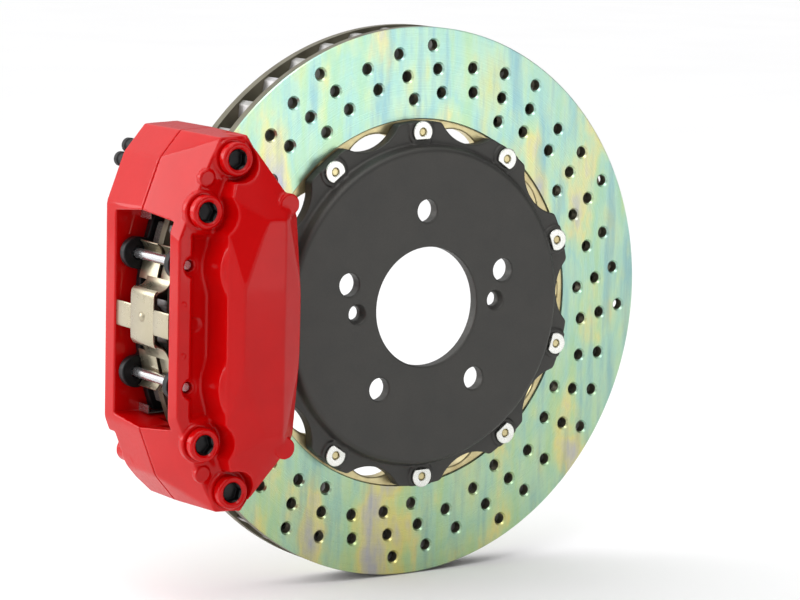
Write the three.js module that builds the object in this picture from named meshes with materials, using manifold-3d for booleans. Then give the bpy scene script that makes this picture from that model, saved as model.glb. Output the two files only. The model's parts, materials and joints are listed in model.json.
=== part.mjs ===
// Floating drilled brake disc with a fixed four-piston caliper. Millimetres, +Z up.
// The disc turns about the Y axis, and the outboard (wheel) side faces -Y.
// The origin lies on the disc axis, in the face of the bell that seats on the hub.
// The caliper sits over the disc's -X edge, symmetric about Z = 0 and about the disc's centre plane.

import * as THREE from 'three';
import { ConvexGeometry } from 'three/addons/geometries/ConvexGeometry.js';
import { mergeVertices } from 'three/addons/utils/BufferGeometryUtils.js';
import Module from 'manifold-3d';

const wasm = await Module();
wasm.setup();

// ---- driving dimensions ----
const GAP = 0.3; // between pieces that touch
const MERGE_TOLERANCE = 0.005; // facets this close to one plane become one face
const DISC_RADIUS = 172.5;
const DISC_THICKNESS = 28;
const DISC_FRONT_Y = 8;
const DISC_CENTRE_Y = DISC_FRONT_Y + DISC_THICKNESS / 2;
const DISC_CLOCK_DEG = -1.5; // turn of the disc about its axis, clockwise seen from the wheel side
const RING_INNER_RADIUS = 115.5;
const PLATE_THICKNESS = 6.6; // each of the two friction plates
const VANE_COUNT = 48;
const VANE_THICKNESS = 4.5;
const VANE_SWEEP_DEG = 18;

const HOLE_RADIUS = 3.4;
const HOLE_PITCH = 14.4; // between the holes of one drilled line, along the radius
const HOLE_SWEEP_DEG = 2.03; // turn from one hole of a line to the next one inwards
const HOLE_PERIODS = 12;
// one period of drilled lines: outermost radius, angle in the period, holes in the line
const HOLE_LINES = [
  { radius: 161.3, angle: 5.2, count: 3 },
  { radius: 151.7, angle: 17.2, count: 2 },
  { radius: 156.4, angle: 26.2, count: 3 },
];

const LUG_COUNT = 10; // ears of the bell, and lugs of the ring under them
const LUG_STEP_DEG = 360 / LUG_COUNT;
const BOBBIN_CIRCLE_RADIUS = 108.5;
const EAR_RADIUS = 114.5;
const EAR_FRONT_Y = 0;
const EAR_BACK_Y = 8.2;
const EAR_SCALLOP = { radius: 28, centre: 132.5 };
const EAR_BOSS = { radius: 9.4, height: 1.3 };
const LUG_FRONT_Y = 9;
const LUG_BACK_Y = 16;
const LUG_INNER_RADIUS = 101.5;
const LUG_SCALLOP = { radius: 24, centre: 88 };

const BELL_FACE_Y = -8;
const BELL_FACE_RADIUS = 97.5;
const BELL_WALL_RADIUS = 101.5;
const BELL_CAVITY_RADIUS = 91.5;
const HUB_BORE_RADIUS = 37.4;
const STUD_CIRCLE_RADIUS = 60;
const STUD_HOLE_RADIUS = 7.2;
const RETAINER_HOLE = { radius: 4.2, sink: 6.4, circle: 51.5, depth: 4 };

const BOBBIN = { head: 6.8, headThickness: 1.2, shank: 4.9, bore: 3.3, flat: 4.6 };
const BOBBIN_BOLT = { shank: 2.9, head: 6.6, headHeight: 4.2, socket: 2.6 };

// caliper; h is the distance from the disc's centre plane, side is -1 outboard and +1 inboard
const OUTBOARD = -1;
const INBOARD = 1;
const PARTING_GAP = GAP / 2;
const SLOT_RADIUS = 175.5;
const SLOT_H = 16;
const POCKET_H = 32.2;
const POCKET_HALF_LENGTH = 62;
const POCKET_PEAK_LENGTH = 65.5;
const LAND_H = 43;
const SHOULDER_H = 61;
const PANEL_H = 67;
const CHANNEL_H = 38;
const INNER_EDGE_X = -110;
const PISTON = { x: -141, z: 35, radius: 19.9, bore: 20, length: 23, cup: 15.5, cupDepth: 17 };
const PISTON_FLOOR_H = 58;
const BULGE_RADIUS = 24;
const SEAL = { h: 38, width: 3.2, groove: 22.4 };
const PAD_PIN = { x: -174.5, z: 36.3, radius: 3.25, end: 34.8 };
const PIN_POCKET = { radius: 6, h: 37.5 };
const BRIDGE_BOLTS = [
  { x: -150, z: 99.3, relief: 13.4 },
  { x: -169.5, z: 69, relief: 14.4 },
];
const BOLT_SEAT_H = LAND_H + 1.2;
const BRIDGE_BOLT = {
  shank: 5.9, depth: 34, head: 10.2, headHeight: 6.8, bevel: 1.3, socket: 5.8, socketDepth: 5.5, seat: 11.8,
};
const MARK_PAD = { x: -166.6, z: 88.2, radius: 4.8, height: 0.6 };
const CORNER_BOSS = { x: -121.7, z: 72.9, radius: 6.6, h: 63.2 };
const FLUID = { x: -163, z: -86, radius: 2, h: 34 };
const BORE_LINK_H = 56;
const LUG = {
  z: 76, seatX: -156, faceX: -128, half: 12, root: 44, shoulder: 73, top: 80, hole: 6.3, holeH: 69,
};
const INLET = { x: -168.5, z: -88, radius: 7.6, bore: 4.6, h: 47 };
const INBOARD_LAND_H = 44;
const LOWER_STEP = { z: -75, h: 37.3, tipZ: -104, tipH: 24 };
const BLEEDERS = [{ x: -161, z: 97.4 }, { x: -166.3, z: 89.2 }];
const BLEEDER = {
  boss: 6, seatH: 49, thread: 3.3, hexRadius: 4.6, hexTop: 53,
  nipple: 2.6, nippleTop: 60, cap: 4.6, capTop: 65,
};

// pads
const PAD_SECTOR_DEG = 31;
const PAD_INNER_X = -112.5;
const LINING = { inner: 118.5, outer: 170.5, halfLength: 55, thickness: 9.2 };
const PAD_GAP = 0.8; // between lining and disc with the brake released
const BACKING = { thickness: 5.5, halfLength: 60.4, lobe: 9.8, hole: 3.7 };
const ABUTMENT = { thickness: 0.7, halfHeight: 21, x: -147 };

// pad spring
const SPRING = {
  thickness: 0.9, strapX: -184.6, leafX: -170.4, strapHalf: 14, leafHalf: 23.4, tabHalf: 31.9,
};

const FINISH = {
  paint: { color: 0xc4060c, roughness: 0.22, metalness: 0.1 },
  bell: { color: 0x2a2a28, roughness: 0.5, metalness: 0.5 },
  disc: { color: 0xb9c0a6, roughness: 0.35, metalness: 0.8 },
  bobbin: { color: 0xd4d4d0, roughness: 0.3, metalness: 0.9 },
  zinc: { color: 0xb8a468, roughness: 0.4, metalness: 0.8 },
  steel: { color: 0xc8c8c8, roughness: 0.2, metalness: 1 },
  spring: { color: 0xc2b79a, roughness: 0.45, metalness: 0.7 },
  backing: { color: 0x1b1b1d, roughness: 0.6, metalness: 0.3 },
  lining: { color: 0x3a3634, roughness: 0.95, metalness: 0.1 },
  rubber: { color: 0x141416, roughness: 0.8, metalness: 0 },
};

// ---- shapes ----
const { degToRad } = THREE.MathUtils;

// point on the disc: radius, and angle clockwise from the top seen from the wheel side
function polar(radius, degrees, y = 0) {
  const t = degToRad(degrees);
  return new THREE.Vector3(radius * Math.sin(t), y, radius * Math.cos(t));
}

// closed three.js geometry as a solid that can be joined and cut
function solid(geometry) {
  const bare = geometry.clone();
  bare.deleteAttribute('normal');
  bare.deleteAttribute('uv');
  const merged = mergeVertices(bare, 1e-4);
  const index = Array.from(merged.index.array);
  const triangles = [];
  for (let i = 0; i < index.length; i += 3) {
    const [a, b, c] = index.slice(i, i + 3);
    if (a !== b && b !== c && c !== a) triangles.push(a, b, c);
  }
  return new wasm.Manifold(new wasm.Mesh({
    numProp: 3,
    vertProperties: new Float32Array(merged.attributes.position.array),
    triVerts: new Uint32Array(triangles),
  }));
}

function geometryOf(body) {
  const { vertProperties, triVerts } = body.asOriginal().simplify(MERGE_TOLERANCE).getMesh();
  const geometry = new THREE.BufferGeometry();
  geometry.setAttribute('position', new THREE.BufferAttribute(vertProperties, 3));
  geometry.setIndex(new THREE.BufferAttribute(triVerts, 1));
  geometry.computeVertexNormals();
  return geometry;
}

// round bar between two points
function rod(from, to, radius, sides = 16, endRadius = radius) {
  const along = to.clone().sub(from);
  const geometry = new THREE.CylinderGeometry(endRadius, radius, along.length(), sides);
  const up = new THREE.Vector3(0, 1, 0);
  geometry.applyQuaternion(new THREE.Quaternion().setFromUnitVectors(up, along.clone().normalize()));
  geometry.translate(...from.clone().add(to).multiplyScalar(0.5).toArray());
  return solid(geometry);
}

// round bar along Y
function rodY(x, z, yFrom, yTo, radius, sides = 16) {
  const geometry = new THREE.CylinderGeometry(radius, radius, yTo - yFrom, sides);
  return solid(geometry.translate(x, (yFrom + yTo) / 2, z));
}

function box(x, y, z) {
  const geometry = new THREE.BoxGeometry(x[1] - x[0], y[1] - y[0], z[1] - z[0]);
  return solid(geometry.translate((x[0] + x[1]) / 2, (y[0] + y[1]) / 2, (z[0] + z[1]) / 2));
}

function extruded(shape, from, to, basis) {
  const settings = { depth: to - from, bevelEnabled: false, curveSegments: 5 };
  const geometry = new THREE.ExtrudeGeometry(shape, settings);
  geometry.translate(0, 0, from);
  return solid(geometry.applyMatrix4(basis));
}

// outline in X and Z, with thickness along Y
function plateY(shape, yFrom, yTo) {
  const basis = new THREE.Matrix4().makeBasis(
    new THREE.Vector3(1, 0, 0), new THREE.Vector3(0, 0, 1), new THREE.Vector3(0, -1, 0));
  return extruded(shape, -yTo, -yFrom, basis);
}

// outline in Y and Z, with thickness along X

// outline in X and Z, drawn from [x, z] points
function outline(points) {
  return new THREE.Shape(points.map(([x, y]) => new THREE.Vector2(x, y)));
}

// ring about the disc axis from a closed profile of [radius, y] points
function ring(profile, sides) {
  const points = [...profile, profile[0]].map(([r, y]) => new THREE.Vector2(r, y));
  return solid(new THREE.LatheGeometry(points, sides));
}

// convex solid around [x, h, z] points, h measured from the disc's centre plane
function hull(side, points) {
  return solid(new ConvexGeometry(points.map(([x, h, z]) => new THREE.Vector3(x, yAt(side, h), z))));
}

function yAt(side, h) {
  return DISC_CENTRE_Y + side * h;
}

// both mirror images of [x, h, z] points about Z = 0
function bothEnds(points) {
  return points.flatMap(([x, h, z]) => [[x, h, z], [x, h, -z]]);
}

// round bar along Y given by its distances from the centre plane
function rodH(side, x, z, hFrom, hTo, radius, sides = 16) {
  const ends = [yAt(side, hFrom), yAt(side, hTo)].sort((a, b) => a - b);
  return rodY(x, z, ends[0], ends[1], radius, sides);
}

function boxH(side, x, h, z) {
  return box(x, h.map((value) => yAt(side, value)).sort((a, b) => a - b), z);
}

function joined(bodies) {
  return bodies.reduce((sum, body) => sum.add(body));
}

function cut(body, tools) {
  return body.subtract(joined(tools));
}

const group = new THREE.Group();

function place(name, body, finish) {
  const mesh = new THREE.Mesh(geometryOf(body), new THREE.MeshStandardMaterial(FINISH[finish]));
  mesh.name = name;
  group.add(mesh);
}

// ---- disc ----
const DISC_SIDES = 60;
const DISC_REAR_Y = DISC_FRONT_Y + DISC_THICKNESS;

function frictionPlate(yFrom, yTo) {
  return ring([
    [RING_INNER_RADIUS, yFrom], [DISC_RADIUS, yFrom], [DISC_RADIUS, yTo], [RING_INNER_RADIUS, yTo],
  ], DISC_SIDES);
}

// straight vane, swept back from the radius, that ties the two plates together
function vane(degrees) {
  const inner = polar(RING_INNER_RADIUS + 3, degrees);
  const outer = polar(DISC_RADIUS - 1.5, degrees + VANE_SWEEP_DEG);
  const across = new THREE.Vector3(outer.z - inner.z, 0, inner.x - outer.x).setLength(VANE_THICKNESS / 2);
  const corners = [
    inner.clone().add(across), outer.clone().add(across),
    outer.clone().sub(across), inner.clone().sub(across),
  ];
  const shape = outline(corners.map((p) => [p.x, p.z]));
  const bite = 0.5;
  return plateY(shape, DISC_FRONT_Y + PLATE_THICKNESS - bite, DISC_REAR_Y - PLATE_THICKNESS + bite);
}

function drilledHoles() {
  const holes = [];
  for (let period = 0; period < HOLE_PERIODS; period += 1) {
    for (const line of HOLE_LINES) {
      for (let i = 0; i < line.count; i += 1) {
        const turn = DISC_CLOCK_DEG + line.angle + period * 360 / HOLE_PERIODS + i * HOLE_SWEEP_DEG;
        const at = polar(line.radius - i * HOLE_PITCH, turn);
        holes.push(rodY(at.x, at.z, DISC_FRONT_Y - 1, DISC_REAR_Y + 1, HOLE_RADIUS, 6));
      }
    }
  }
  return holes;
}

function lugAngle(i) {
  return DISC_CLOCK_DEG + i * LUG_STEP_DEG;
}

// round cutters in the gaps between the lugs, on a circle of their own
function scallops(scallop, yFrom, yTo, sides) {
  return Array.from({ length: LUG_COUNT }, (_, i) => {
    const at = polar(scallop.centre, lugAngle(i + 0.5));
    return rodY(at.x, at.z, yFrom, yTo, scallop.radius, sides);
  });
}

// lug flange of the ring: scalloped inwards, with a radial slot for each bobbin
function lugFlange() {
  const band = ring([
    [LUG_INNER_RADIUS, LUG_FRONT_Y], [RING_INNER_RADIUS + 1.5, LUG_FRONT_Y],
    [RING_INNER_RADIUS + 1.5, LUG_BACK_Y], [LUG_INNER_RADIUS, LUG_BACK_Y],
  ], DISC_SIDES);
  const slots = Array.from({ length: LUG_COUNT }, (_, i) => {
    const from = polar(LUG_INNER_RADIUS - 4, lugAngle(i), LUG_BACK_Y / 2);
    const width = BOBBIN.shank + GAP;
    const to = polar(BOBBIN_CIRCLE_RADIUS, lugAngle(i));
    const side = polar(width, lugAngle(i) + 90);
    const shape = outline([
      [from.x + side.x, from.z + side.z], [to.x + side.x, to.z + side.z],
      [to.x - side.x, to.z - side.z], [from.x - side.x, from.z - side.z],
    ]);
    const slot = plateY(shape, LUG_FRONT_Y - 1, LUG_BACK_Y + 1);
    return slot.add(rodY(to.x, to.z, LUG_FRONT_Y - 1, LUG_BACK_Y + 1, width, 12));
  });
  return cut(band, [...scallops(LUG_SCALLOP, LUG_FRONT_Y - 1, LUG_BACK_Y + 1, 24), ...slots]);
}

function rotorRing() {
  const plates = [
    frictionPlate(DISC_FRONT_Y, DISC_FRONT_Y + PLATE_THICKNESS),
    frictionPlate(DISC_REAR_Y - PLATE_THICKNESS, DISC_REAR_Y),
  ];
  const vanes = Array.from({ length: VANE_COUNT }, (_, i) => vane(i * 360 / VANE_COUNT));
  return cut(joined([...plates, ...vanes, lugFlange()]), drilledHoles());
}

function bell() {
  const hat = ring([
    [HUB_BORE_RADIUS, BELL_FACE_Y + 1], [HUB_BORE_RADIUS + 1, BELL_FACE_Y],
    [BELL_FACE_RADIUS, BELL_FACE_Y], [BELL_FACE_RADIUS + 2, BELL_FACE_Y + 2],
    [BELL_WALL_RADIUS, EAR_FRONT_Y + 1], [BELL_WALL_RADIUS, EAR_BACK_Y],
    [BELL_CAVITY_RADIUS, EAR_BACK_Y], [BELL_CAVITY_RADIUS, 0], [HUB_BORE_RADIUS, 0],
  ], DISC_SIDES);
  const flange = cut(
    ring([
      [BELL_CAVITY_RADIUS + 2, EAR_FRONT_Y], [EAR_RADIUS, EAR_FRONT_Y],
      [EAR_RADIUS, EAR_BACK_Y], [BELL_CAVITY_RADIUS + 2, EAR_BACK_Y],
    ], DISC_SIDES),
    scallops(EAR_SCALLOP, EAR_FRONT_Y - 1, EAR_BACK_Y + 1, 24),
  );
  const bosses = [];
  const holes = [];
  for (let i = 0; i < LUG_COUNT; i += 1) {
    const at = polar(BOBBIN_CIRCLE_RADIUS, lugAngle(i));
    bosses.push(rodY(at.x, at.z, EAR_FRONT_Y - EAR_BOSS.height, EAR_FRONT_Y + 1, EAR_BOSS.radius, 14));
    holes.push(rodY(at.x, at.z, EAR_FRONT_Y - 3, EAR_BACK_Y + 1, BOBBIN.shank + GAP, 10));
  }
  // spot faces let the bobbin heads sit against the shoulder of the hat
  const cap = ring([
    [EAR_RADIUS, EAR_FRONT_Y - 3], [EAR_RADIUS + 20, EAR_FRONT_Y - 3],
    [EAR_RADIUS + 20, EAR_BACK_Y + 1], [EAR_RADIUS, EAR_BACK_Y + 1],
  ], DISC_SIDES);
  const heads = Array.from({ length: LUG_COUNT }, (_, i) => {
    const at = polar(BOBBIN_CIRCLE_RADIUS, lugAngle(i));
    return rodY(at.x, at.z, EAR_FRONT_Y - 12, EAR_FRONT_Y - EAR_BOSS.height, BOBBIN.head + 2 * GAP, 16);
  });
  for (let i = 0; i < 5; i += 1) {
    const at = polar(STUD_CIRCLE_RADIUS, DISC_CLOCK_DEG + i * 72);
    holes.push(rodY(at.x, at.z, BELL_FACE_Y - 1, 1, STUD_HOLE_RADIUS, 16));
  }
  for (const turn of [90, 270]) {
    const at = polar(RETAINER_HOLE.circle, DISC_CLOCK_DEG + turn);
    holes.push(rodY(at.x, at.z, BELL_FACE_Y - 1, 1, RETAINER_HOLE.radius, 12));
    const sinkFrom = polar(RETAINER_HOLE.circle, DISC_CLOCK_DEG + turn, BELL_FACE_Y - 0.5);
    const sinkTo = polar(RETAINER_HOLE.circle, DISC_CLOCK_DEG + turn, BELL_FACE_Y + RETAINER_HOLE.depth);
    holes.push(rod(sinkFrom, sinkTo, RETAINER_HOLE.sink, 12, RETAINER_HOLE.radius - 0.5));
  }
  return cut(joined([hat, flange, ...bosses]), [cap, ...heads, ...holes]);
}

// drive bobbin: D-shaped head whose flat bears on the hat, hollow shank in the ring's slot
function bobbin(degrees) {
  const at = polar(BOBBIN_CIRCLE_RADIUS, degrees);
  const headBack = EAR_FRONT_Y - EAR_BOSS.height - GAP;
  const body = joined([
    rodY(at.x, at.z, headBack - BOBBIN.headThickness, headBack, BOBBIN.head, 16),
    rodY(at.x, at.z, headBack - 0.1, LUG_BACK_Y + 0.6, BOBBIN.shank, 10),
  ]);
  const inner = polar(BOBBIN_CIRCLE_RADIUS - BOBBIN.flat, degrees);
  const corners = [[-9, 0], [-9, -9], [9, -9], [9, 0]].map(([across, out]) => {
    const point = inner.clone().add(polar(across, degrees + 90)).add(polar(out, degrees));
    return [point.x, point.z];
  });
  const flat = plateY(outline(corners), headBack - 3, headBack - 0.01);
  return cut(body, [flat, rodY(at.x, at.z, headBack - 3, LUG_BACK_Y + 3, BOBBIN.bore, 8)]);
}

// flanged socket screw from the inboard side; its head keeps the ring's lug on the bobbin
function bobbinBolt(degrees) {
  const at = polar(BOBBIN_CIRCLE_RADIUS, degrees);
  const seat = LUG_BACK_Y + 0.6 + GAP;
  const frontEnd = EAR_FRONT_Y - EAR_BOSS.height - GAP - BOBBIN.headThickness + 0.6;
  const body = joined([
    rodY(at.x, at.z, frontEnd, seat + 1, BOBBIN_BOLT.shank, 8),
    rodY(at.x, at.z, seat, seat + BOBBIN_BOLT.headHeight, BOBBIN_BOLT.head, 10),
  ]);
  const mouth = seat + BOBBIN_BOLT.headHeight;
  return body.subtract(rodY(at.x, at.z, mouth - 2.2, mouth + 1, BOBBIN_BOLT.socket, 6));
}

// ---- caliper halves ----
// outline of the half in [x, z], outer side then inner side; mirrored about Z = 0
const RIDGE = [[-186, 66], [-174.5, 96], [-160.5, 112.5], [-138, 113.5]];
const CREASE = [[-184.5, 53], [-165.7, 96], [-157.5, 111.5], [-140, 112.5]];
const INNER = [[INNER_EDGE_X, 18], [-114, 66], [-118.5, 79]];

function atH(points, h) {
  return points.map(([x, z]) => [x, h, z]);
}

// the outboard half narrows towards its land, and the inboard one does not
function bridgeBlock(side) {
  const far = side === OUTBOARD
    ? atH([...CREASE, ...INNER], LAND_H)
    : atH([...RIDGE, ...INNER], INBOARD_LAND_H);
  return hull(side, bothEnds([...atH([...RIDGE, ...INNER], PARTING_GAP), ...far]));
}

// the inboard half's lower end steps down, and its tip is chamfered
function lowerEndCutters() {
  const { z, h, tipZ, tipH } = LOWER_STEP;
  const step = boxH(INBOARD, [-200, -150], [h, LAND_H + 20], [-125, z]);
  const tip = hull(INBOARD, [-200, -150].flatMap((x) => [
    [x, h, tipZ], [x, LAND_H + 20, tipZ], [x, LAND_H + 20, -130], [x, tipH - 12, -125], [x, tipH, -113.5],
  ]));
  return [step, tip];
}

// raised block that holds the pistons, with its flat panel and sloping ends
function pistonBlock(side) {
  const foot = LAND_H - 3;
  return hull(side, bothEnds([
    [-126, PANEL_H, 64.3], [-138.5, PANEL_H, 64.5], [-153.5, PANEL_H, 25],
    [-161.5, SHOULDER_H, 58], [-158, 58.8, 77], [-151, 53.8, 89], [-141, 44.5, 112],
    [-120, 59.5, 76], [INNER_EDGE_X, 58.5, 18], [-114.5, 58.5, 66],
    ...atH([[-161.5, 58], [-158, 77], [-151, 89], [-145, 112], [-140, 112.3], ...INNER], foot),
  ]));
}

// trough between the land along the window and the piston block
function channel(side) {
  const end = 56;
  return hull(side, bothEnds([
    [-177, LAND_H + 2, end], [-172.5, CHANNEL_H, end - 3],
    [-158, CHANNEL_H, end - 3], [-158, LAND_H + 2, end],
  ]));
}

// space for the disc, and the window the pads sit in
function windowCutters(side) {
  return [
    rodH(side, 0, 0, -1, SLOT_H, SLOT_RADIUS, 72),
    boxH(side, [-200, -90], [-1, POCKET_H], [-POCKET_HALF_LENGTH, POCKET_HALF_LENGTH]),
    hull(side, bothEnds([
      [-200, -1, POCKET_PEAK_LENGTH], [-170, -1, POCKET_PEAK_LENGTH],
      [-200, POCKET_H, POCKET_HALF_LENGTH - 0.1], [-170, POCKET_H, POCKET_HALF_LENGTH - 0.1],
    ])),
  ];
}

function pistonAndPinCutters(side, end) {
  const pistonZ = end * PISTON.z;
  const pinZ = end * PAD_PIN.z;
  return [
    rodH(side, PISTON.x, pistonZ, POCKET_H - 1, PISTON_FLOOR_H, PISTON.bore, 20),
    rodH(side, PISTON.x, pistonZ, SEAL.h, SEAL.h + SEAL.width, SEAL.groove, 20),
    rodH(side, PAD_PIN.x, pinZ, POCKET_H - 1, LAND_H + 5, PAD_PIN.radius + 0.25, 12),
    rodH(side, PAD_PIN.x, pinZ, PIN_POCKET.h, LAND_H + 5, PIN_POCKET.radius, 12),
  ];
}

// drilled ways: bore to bore, and from the lower bore through the bridge to the other half
function fluidWays(side) {
  const upper = new THREE.Vector3(PISTON.x, yAt(side, BORE_LINK_H), PISTON.z);
  const lower = new THREE.Vector3(PISTON.x, yAt(side, BORE_LINK_H), -PISTON.z);
  const corner = new THREE.Vector3(FLUID.x, yAt(side, FLUID.h), FLUID.z);
  return [
    rod(lower, upper, FLUID.radius, 6),
    rod(lower, corner, FLUID.radius, 6),
    rodH(side, FLUID.x, FLUID.z, -1, FLUID.h, FLUID.radius, 8),
    rodH(side, FLUID.x, FLUID.z, -1, 1.4, FLUID.radius + 1.8, 12),
  ];
}

// what both halves share; the bridge bolts are not in it
function caliperHalf(side) {
  const bridgeTools = side === INBOARD ? [channel(side), ...lowerEndCutters()] : [channel(side)];
  const bodies = [cut(bridgeBlock(side), bridgeTools), pistonBlock(side)];
  const tools = [...windowCutters(side), ...fluidWays(side)];
  for (const end of [1, -1]) {
    bodies.push(rodH(side, PISTON.x, end * PISTON.z, CHANNEL_H - 2, SHOULDER_H - 1.5, BULGE_RADIUS, 24));
    const { x, z, h, radius } = CORNER_BOSS;
    bodies.push(rodH(side, x, end * z, LAND_H, h, radius, 14));
    tools.push(...pistonAndPinCutters(side, end));
  }
  return cut(joined(bodies), tools);
}

function bridgeBoltPlaces() {
  return BRIDGE_BOLTS.flatMap((bolt) => [bolt, { ...bolt, z: -bolt.z }]);
}

// outboard half: bolt heads sit in round reliefs, on seats raised a little off the land
function outboardHalf() {
  const seats = [];
  const tools = [];
  for (const { x, z, relief } of bridgeBoltPlaces()) {
    seats.push(rodH(OUTBOARD, x, z, LAND_H - 2, BOLT_SEAT_H, BRIDGE_BOLT.seat, 18));
    tools.push(rodH(OUTBOARD, x, z, -1, LAND_H + 5, BRIDGE_BOLT.shank + GAP, 12));
    tools.push(rodH(OUTBOARD, x, z, BOLT_SEAT_H, PANEL_H + 5, relief, 20));
  }
  for (const end of [1, -1]) {
    const { x, z, height, radius } = MARK_PAD;
    seats.push(rodH(OUTBOARD, x, end * z, LAND_H - 2, LAND_H + height, radius, 12));
  }
  return cut(joined([caliperHalf(OUTBOARD), ...seats]), tools);
}

// mounting lug of the inboard half: two flat faces and a hole along X for the bracket bolt
function mountingLug(z) {
  return hull(INBOARD, [LUG.half, -LUG.half].flatMap((dz) => [
    ...[LUG.root, LUG.shoulder].flatMap((h) => [[LUG.seatX, h, z + dz], [LUG.faceX, h, z + dz]]),
    [LUG.seatX, LUG.top, z + dz / 2], [LUG.faceX, LUG.top, z + dz / 2],
  ]));
}

function lugHole(z) {
  const y = yAt(INBOARD, LUG.holeH);
  const from = new THREE.Vector3(LUG.seatX - 20, y, z);
  const to = new THREE.Vector3(LUG.faceX + 20, y, z);
  return rod(from, to, LUG.hole, 16);
}

// boss, threaded bore and drilled way of one bleed screw
function bleederBoss({ x, z }) {
  return rodH(INBOARD, x, z, LAND_H - 6, BLEEDER.seatH, BLEEDER.boss, 14);
}

function bleederWays({ x, z }) {
  const bottom = new THREE.Vector3(x, yAt(INBOARD, LAND_H - 4), z);
  const bore = new THREE.Vector3(PISTON.x, yAt(INBOARD, BORE_LINK_H), PISTON.z);
  return [
    rodH(INBOARD, x, z, LAND_H - 5, BLEEDER.seatH + 1, BLEEDER.thread + GAP, 10),
    rod(bottom, bore, FLUID.radius, 6),
  ];
}

// inboard half: bolt threads, mounting lugs, fluid inlet and bleed screws
function inboardHalf() {
  const lugs = [mountingLug(LUG.z), mountingLug(-LUG.z)];
  const bodies = [caliperHalf(INBOARD), ...lugs, ...BLEEDERS.map(bleederBoss)];
  bodies.push(rodH(INBOARD, INLET.x, INLET.z, LAND_H - 14, INLET.h, INLET.radius, 16));
  const inletBottom = new THREE.Vector3(INLET.x, yAt(INBOARD, INLET.h - 12), INLET.z);
  const corner = new THREE.Vector3(FLUID.x, yAt(INBOARD, FLUID.h), FLUID.z);
  const tools = [
    lugHole(LUG.z), lugHole(-LUG.z), ...BLEEDERS.flatMap(bleederWays),
    rodH(INBOARD, INLET.x, INLET.z, INLET.h - 12, INLET.h + 1, INLET.bore, 12),
    rod(inletBottom, corner, FLUID.radius, 6),
  ];
  for (const { x, z } of bridgeBoltPlaces()) {
    tools.push(rodH(INBOARD, x, z, -1, BRIDGE_BOLT.depth + GAP, BRIDGE_BOLT.shank + GAP, 12));
  }
  return cut(joined(bodies), tools);
}

// ---- caliper fittings ----
// socket-head screw through the outboard half, threaded into the inboard one
function bridgeBolt({ x, z }) {
  const seat = BOLT_SEAT_H + GAP;
  const top = seat + BRIDGE_BOLT.headHeight;
  const face = yAt(OUTBOARD, top);
  const body = joined([
    rodH(OUTBOARD, x, z, seat, top - BRIDGE_BOLT.bevel, BRIDGE_BOLT.head, 16),
    rod(new THREE.Vector3(x, face + BRIDGE_BOLT.bevel, z), new THREE.Vector3(x, face, z),
      BRIDGE_BOLT.head, 16, BRIDGE_BOLT.head - BRIDGE_BOLT.bevel),
    rodY(x, z, yAt(OUTBOARD, seat + 1), yAt(INBOARD, BRIDGE_BOLT.depth), BRIDGE_BOLT.shank, 12),
  ]);
  return body.subtract(rodY(x, z, face - 1, face + BRIDGE_BOLT.socketDepth, BRIDGE_BOLT.socket, 6));
}

// cup-shaped piston, open towards the pad
function piston(side, z) {
  const front = padBackH() + GAP;
  const body = rodH(side, PISTON.x, z, front, front + PISTON.length, PISTON.radius, 20);
  return body.subtract(rodH(side, PISTON.x, z, front - 1, front + PISTON.cupDepth, PISTON.cup, 12));
}

function pistonSeal(side, z) {
  const body = rodH(side, PISTON.x, z, SEAL.h + 0.2, SEAL.h + SEAL.width - 0.2, SEAL.groove - 0.2, 20);
  const hole = rodH(side, PISTON.x, z, SEAL.h - 1, SEAL.h + SEAL.width + 1, PISTON.radius + 0.1, 20);
  return body.subtract(hole);
}

function padFrontH() {
  return DISC_THICKNESS / 2 + PAD_GAP;
}

function padBackH() {
  return padFrontH() + LINING.thickness + GAP + BACKING.thickness;
}

// slab shaped like a pad: round along its inner and outer edges, with straight ends
function padSlab(side, from, to, inner, outer, halfLength) {
  const half = degToRad(PAD_SECTOR_DEG);
  const shape = new THREE.Shape();
  shape.absarc(0, 0, outer, Math.PI - half, Math.PI + half, false);
  shape.absarc(0, 0, inner, Math.PI + half, Math.PI - half, true);
  const ends = [yAt(side, from), yAt(side, to)].sort((a, b) => a - b);
  const length = boxH(side, [-190, PAD_INNER_X], [from - 1, to + 1], [-halfLength, halfLength]);
  return plateY(shape, ends[0], ends[1]).intersect(length);
}

function lining(side) {
  const from = padFrontH();
  const body = padSlab(side, from, from + LINING.thickness, LINING.inner, LINING.outer, LINING.halfLength);
  return body.subtract(boxH(side, [-180, -100], [from - 1, from + 8], [-1.5, 1.5]));
}

// backing plate: longer than the lining, with a lobe round each pad pin
function backing(side) {
  const from = padFrontH() + LINING.thickness + GAP;
  const to = from + BACKING.thickness;
  const slab = padSlab(side, from, to, LINING.inner - 1, LINING.outer + 3.5, BACKING.halfLength);
  const lobes = [PAD_PIN.z, -PAD_PIN.z].map((z) => rodH(side, PAD_PIN.x, z, from, to, BACKING.lobe, 16));
  const hole = (z) => rodH(side, PAD_PIN.x, z, from - 1, to + 1, BACKING.hole, 12);
  const holes = [PAD_PIN.z, -PAD_PIN.z].map(hole);
  return cut(joined([slab, ...lobes]), holes);
}

// stainless plate between a pad's end and the caliper
function abutment(side, end) {
  const wall = POCKET_HALF_LENGTH - 0.2;
  const z = [end * wall, end * (wall - ABUTMENT.thickness)].sort((a, b) => a - b);
  const foot = [end * wall, end * (wall - 5)].sort((a, b) => a - b);
  const x = [ABUTMENT.x - ABUTMENT.halfHeight, ABUTMENT.x + ABUTMENT.halfHeight];
  return joined([
    boxH(side, x, [SLOT_H + 4, POCKET_H - 0.2], z),
    boxH(side, [x[0] - ABUTMENT.thickness, x[0]], [SLOT_H + 4, POCKET_H - 0.2], foot),
  ]);
}

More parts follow.
